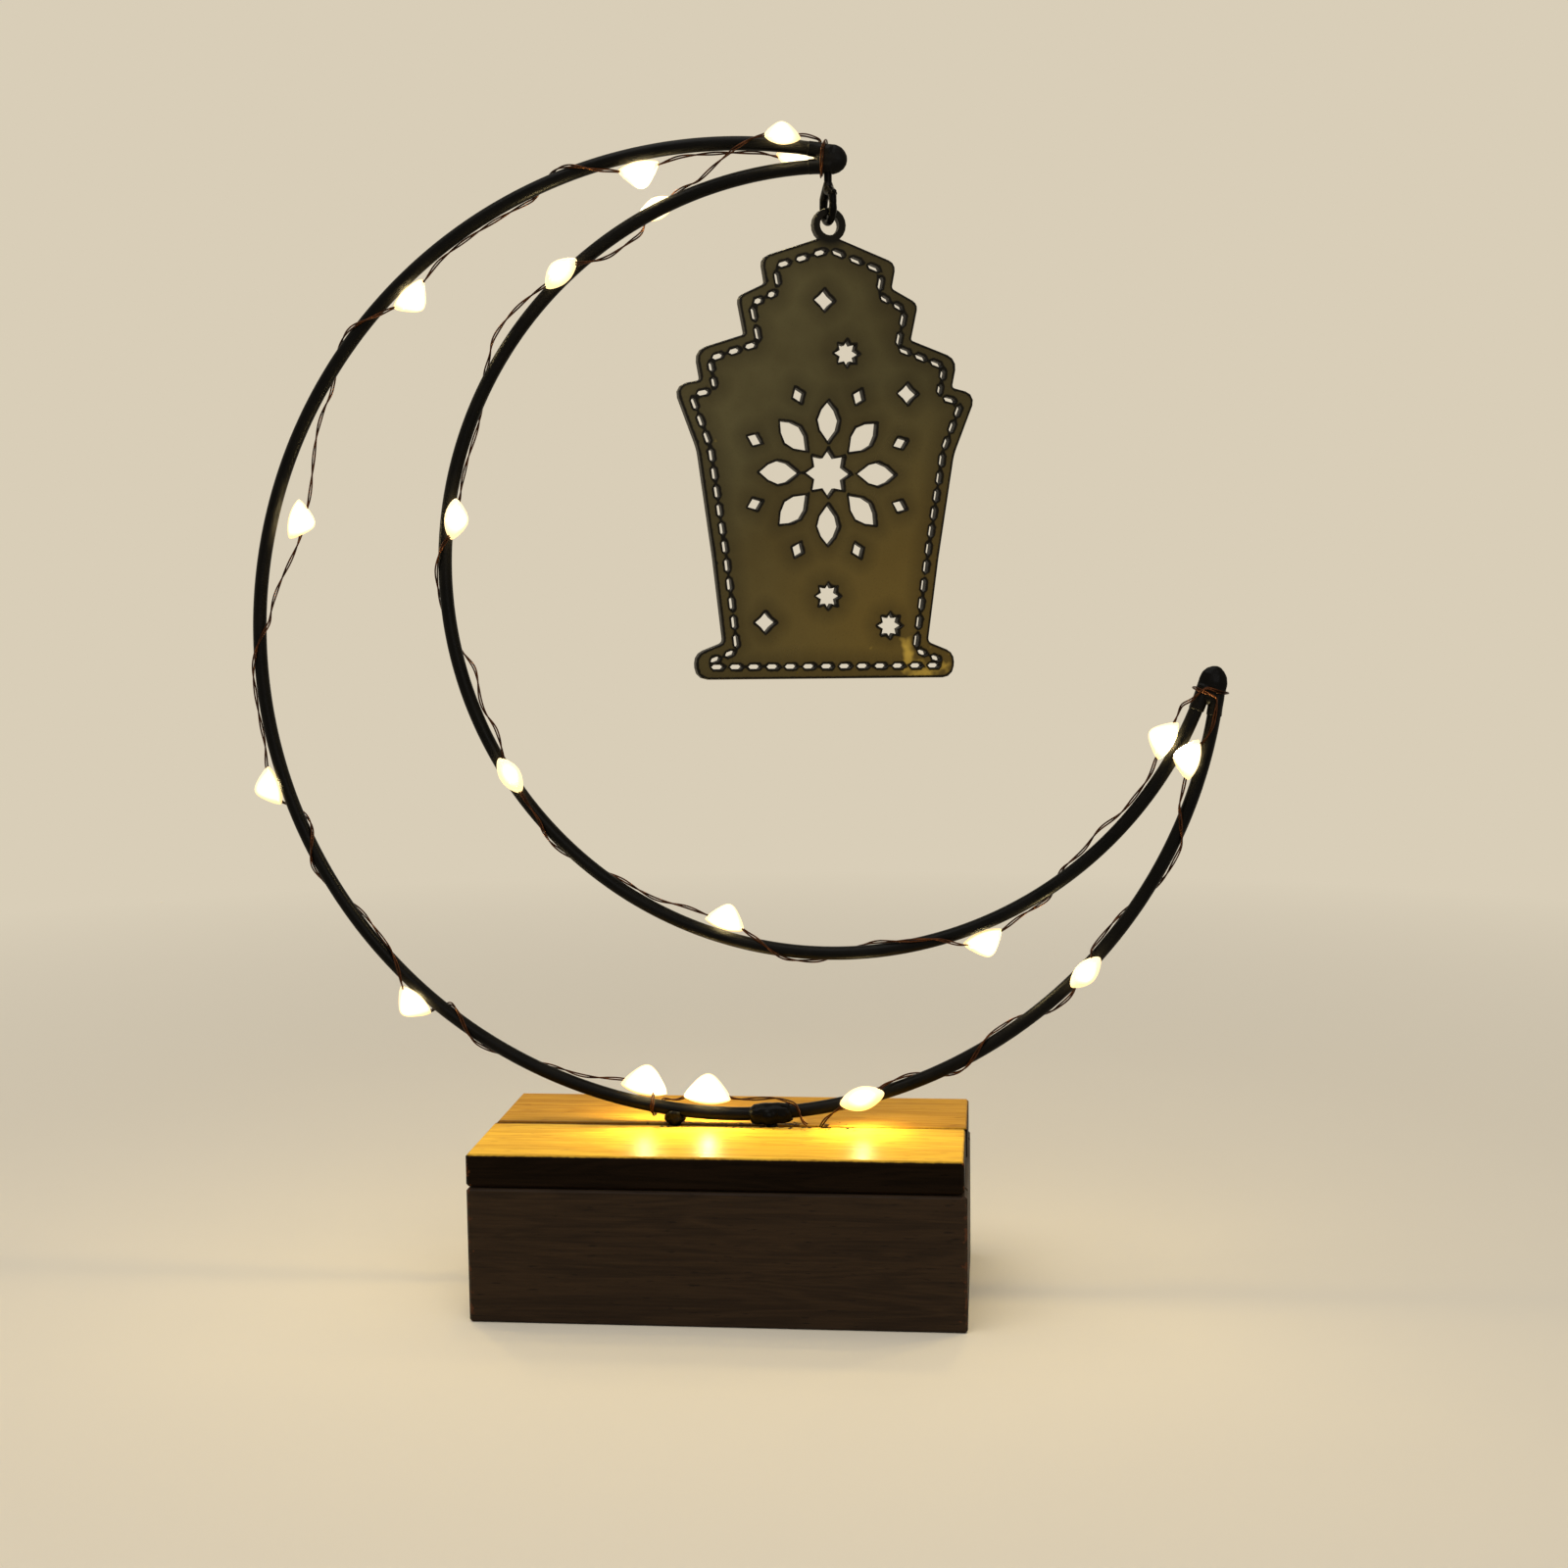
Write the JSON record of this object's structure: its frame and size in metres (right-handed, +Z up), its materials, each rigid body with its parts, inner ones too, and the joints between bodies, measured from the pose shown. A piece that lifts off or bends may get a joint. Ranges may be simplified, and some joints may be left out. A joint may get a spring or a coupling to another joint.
{
  "type": "eid led lamp",
  "caption": "Crescent moon table lamp: bent rods wound with an LED string on a hollow pine base, with a pierced lantern plate hung from the upper tip.",
  "frame": {"origin": "at table level, under the middle of the whole lamp's box", "axes": "+Z up, -Y towards the front that the picture shows, +X to the right, where the crescent opens"},
  "size_m": [0.201, 0.05, 0.2384],
  "materials": {
    "pine": "bare, lightly sanded",
    "black_rod": "satin black paint",
    "black_sleeve": "glossy shrunk tubing",
    "copper": "clear enamelled copper wire",
    "warm_resin": "clear resin drop, lit warm white",
    "dark_nickel": "dark polished plating",
    "antique_gold": "polished antique gold",
    "foam": "white adhesive foam",
    "black_plastic": "fine moulded grain",
    "cell_jacket": "plain printed jacket",
    "nickel": "bright nickel plate",
    "white_plastic": "smooth white plastic"
  },
  "bodies": {
    "lamp": {"base_front_board": "pine", "base_rear_board": "pine", "base_left_board": "pine", "base_right_board": "pine", "lid_front_board": "pine", "lid_rear_board": "pine", "outer_arc": "black_rod", "inner_arc": "black_rod", "top_tip_cap": "black_rod", "side_tip_cap": "black_rod", "frame_foot_left": "black_rod", "frame_foot_right": "black_rod", "splice_sleeve": "black_sleeve", "led_wire": "copper", "led_bead_1": "warm_resin", "led_bead_2": "warm_resin", "led_bead_3": "warm_resin", "led_bead_4": "warm_resin", "led_bead_5": "warm_resin", "led_bead_6": "warm_resin", "led_bead_7": "warm_resin", "led_bead_8": "warm_resin", "led_bead_9": "warm_resin", "led_bead_10": "warm_resin", "led_bead_11": "warm_resin", "led_bead_12": "warm_resin", "led_bead_13": "warm_resin", "led_bead_14": "warm_resin", "led_bead_15": "warm_resin", "led_bead_16": "warm_resin", "led_bead_17": "warm_resin", "led_bead_18": "warm_resin", "led_bead_19": "warm_resin", "swivel_pin": "dark_nickel", "foam_pad": "foam", "battery_case": "black_plastic", "battery_cell_front": "cell_jacket", "battery_cell_rear": "cell_jacket", "contact_front": "nickel", "contact_rear": "nickel", "contact_bridge": "nickel", "contact_spring_front": "nickel", "contact_spring_rear": "nickel", "switch_housing": "nickel"},
    "clasp": {"clasp_hook": "dark_nickel", "lever_pin": "dark_nickel"},
    "gate": {"clasp_lever": "dark_nickel"},
    "pendant": {"lantern_plate": "antique_gold"},
    "cover": {"battery_cover": "black_plastic"},
    "knob": {"switch_knob": "white_plastic"}
  },
  "joints": [
    {"name": "clasp_turn", "type": "hinge", "parent": "lamp", "child": "clasp", "pos_m": [0.0211, 0, 0.22546], "axis": [0, 0, 1], "continuous": true},
    {"name": "pendant_swing", "type": "hinge", "parent": "clasp", "child": "pendant", "pos_m": [0.0211, 0, 0.21912], "axis": [0.3795, -0.9252, 0], "range_deg": [-25, 25]},
    {"name": "gate_open", "type": "hinge", "parent": "clasp", "child": "gate", "pos_m": [0.02252, -0.00181, 0.22437], "axis": [0.788, 0.6157, 0], "range_deg": [0, 25], "stiffness_Nm_per_rad": 0.0002, "springref_deg": -22.92},
    {"name": "switch_slide", "type": "slide", "parent": "lamp", "child": "knob", "axis": [0, 1, 0], "range_m": [0, 0.003]},
    {"name": "battery_cover_slide", "type": "slide", "parent": "lamp", "child": "cover", "axis": [1, 0, 0], "range_m": [0, 0.016]}
  ]
}
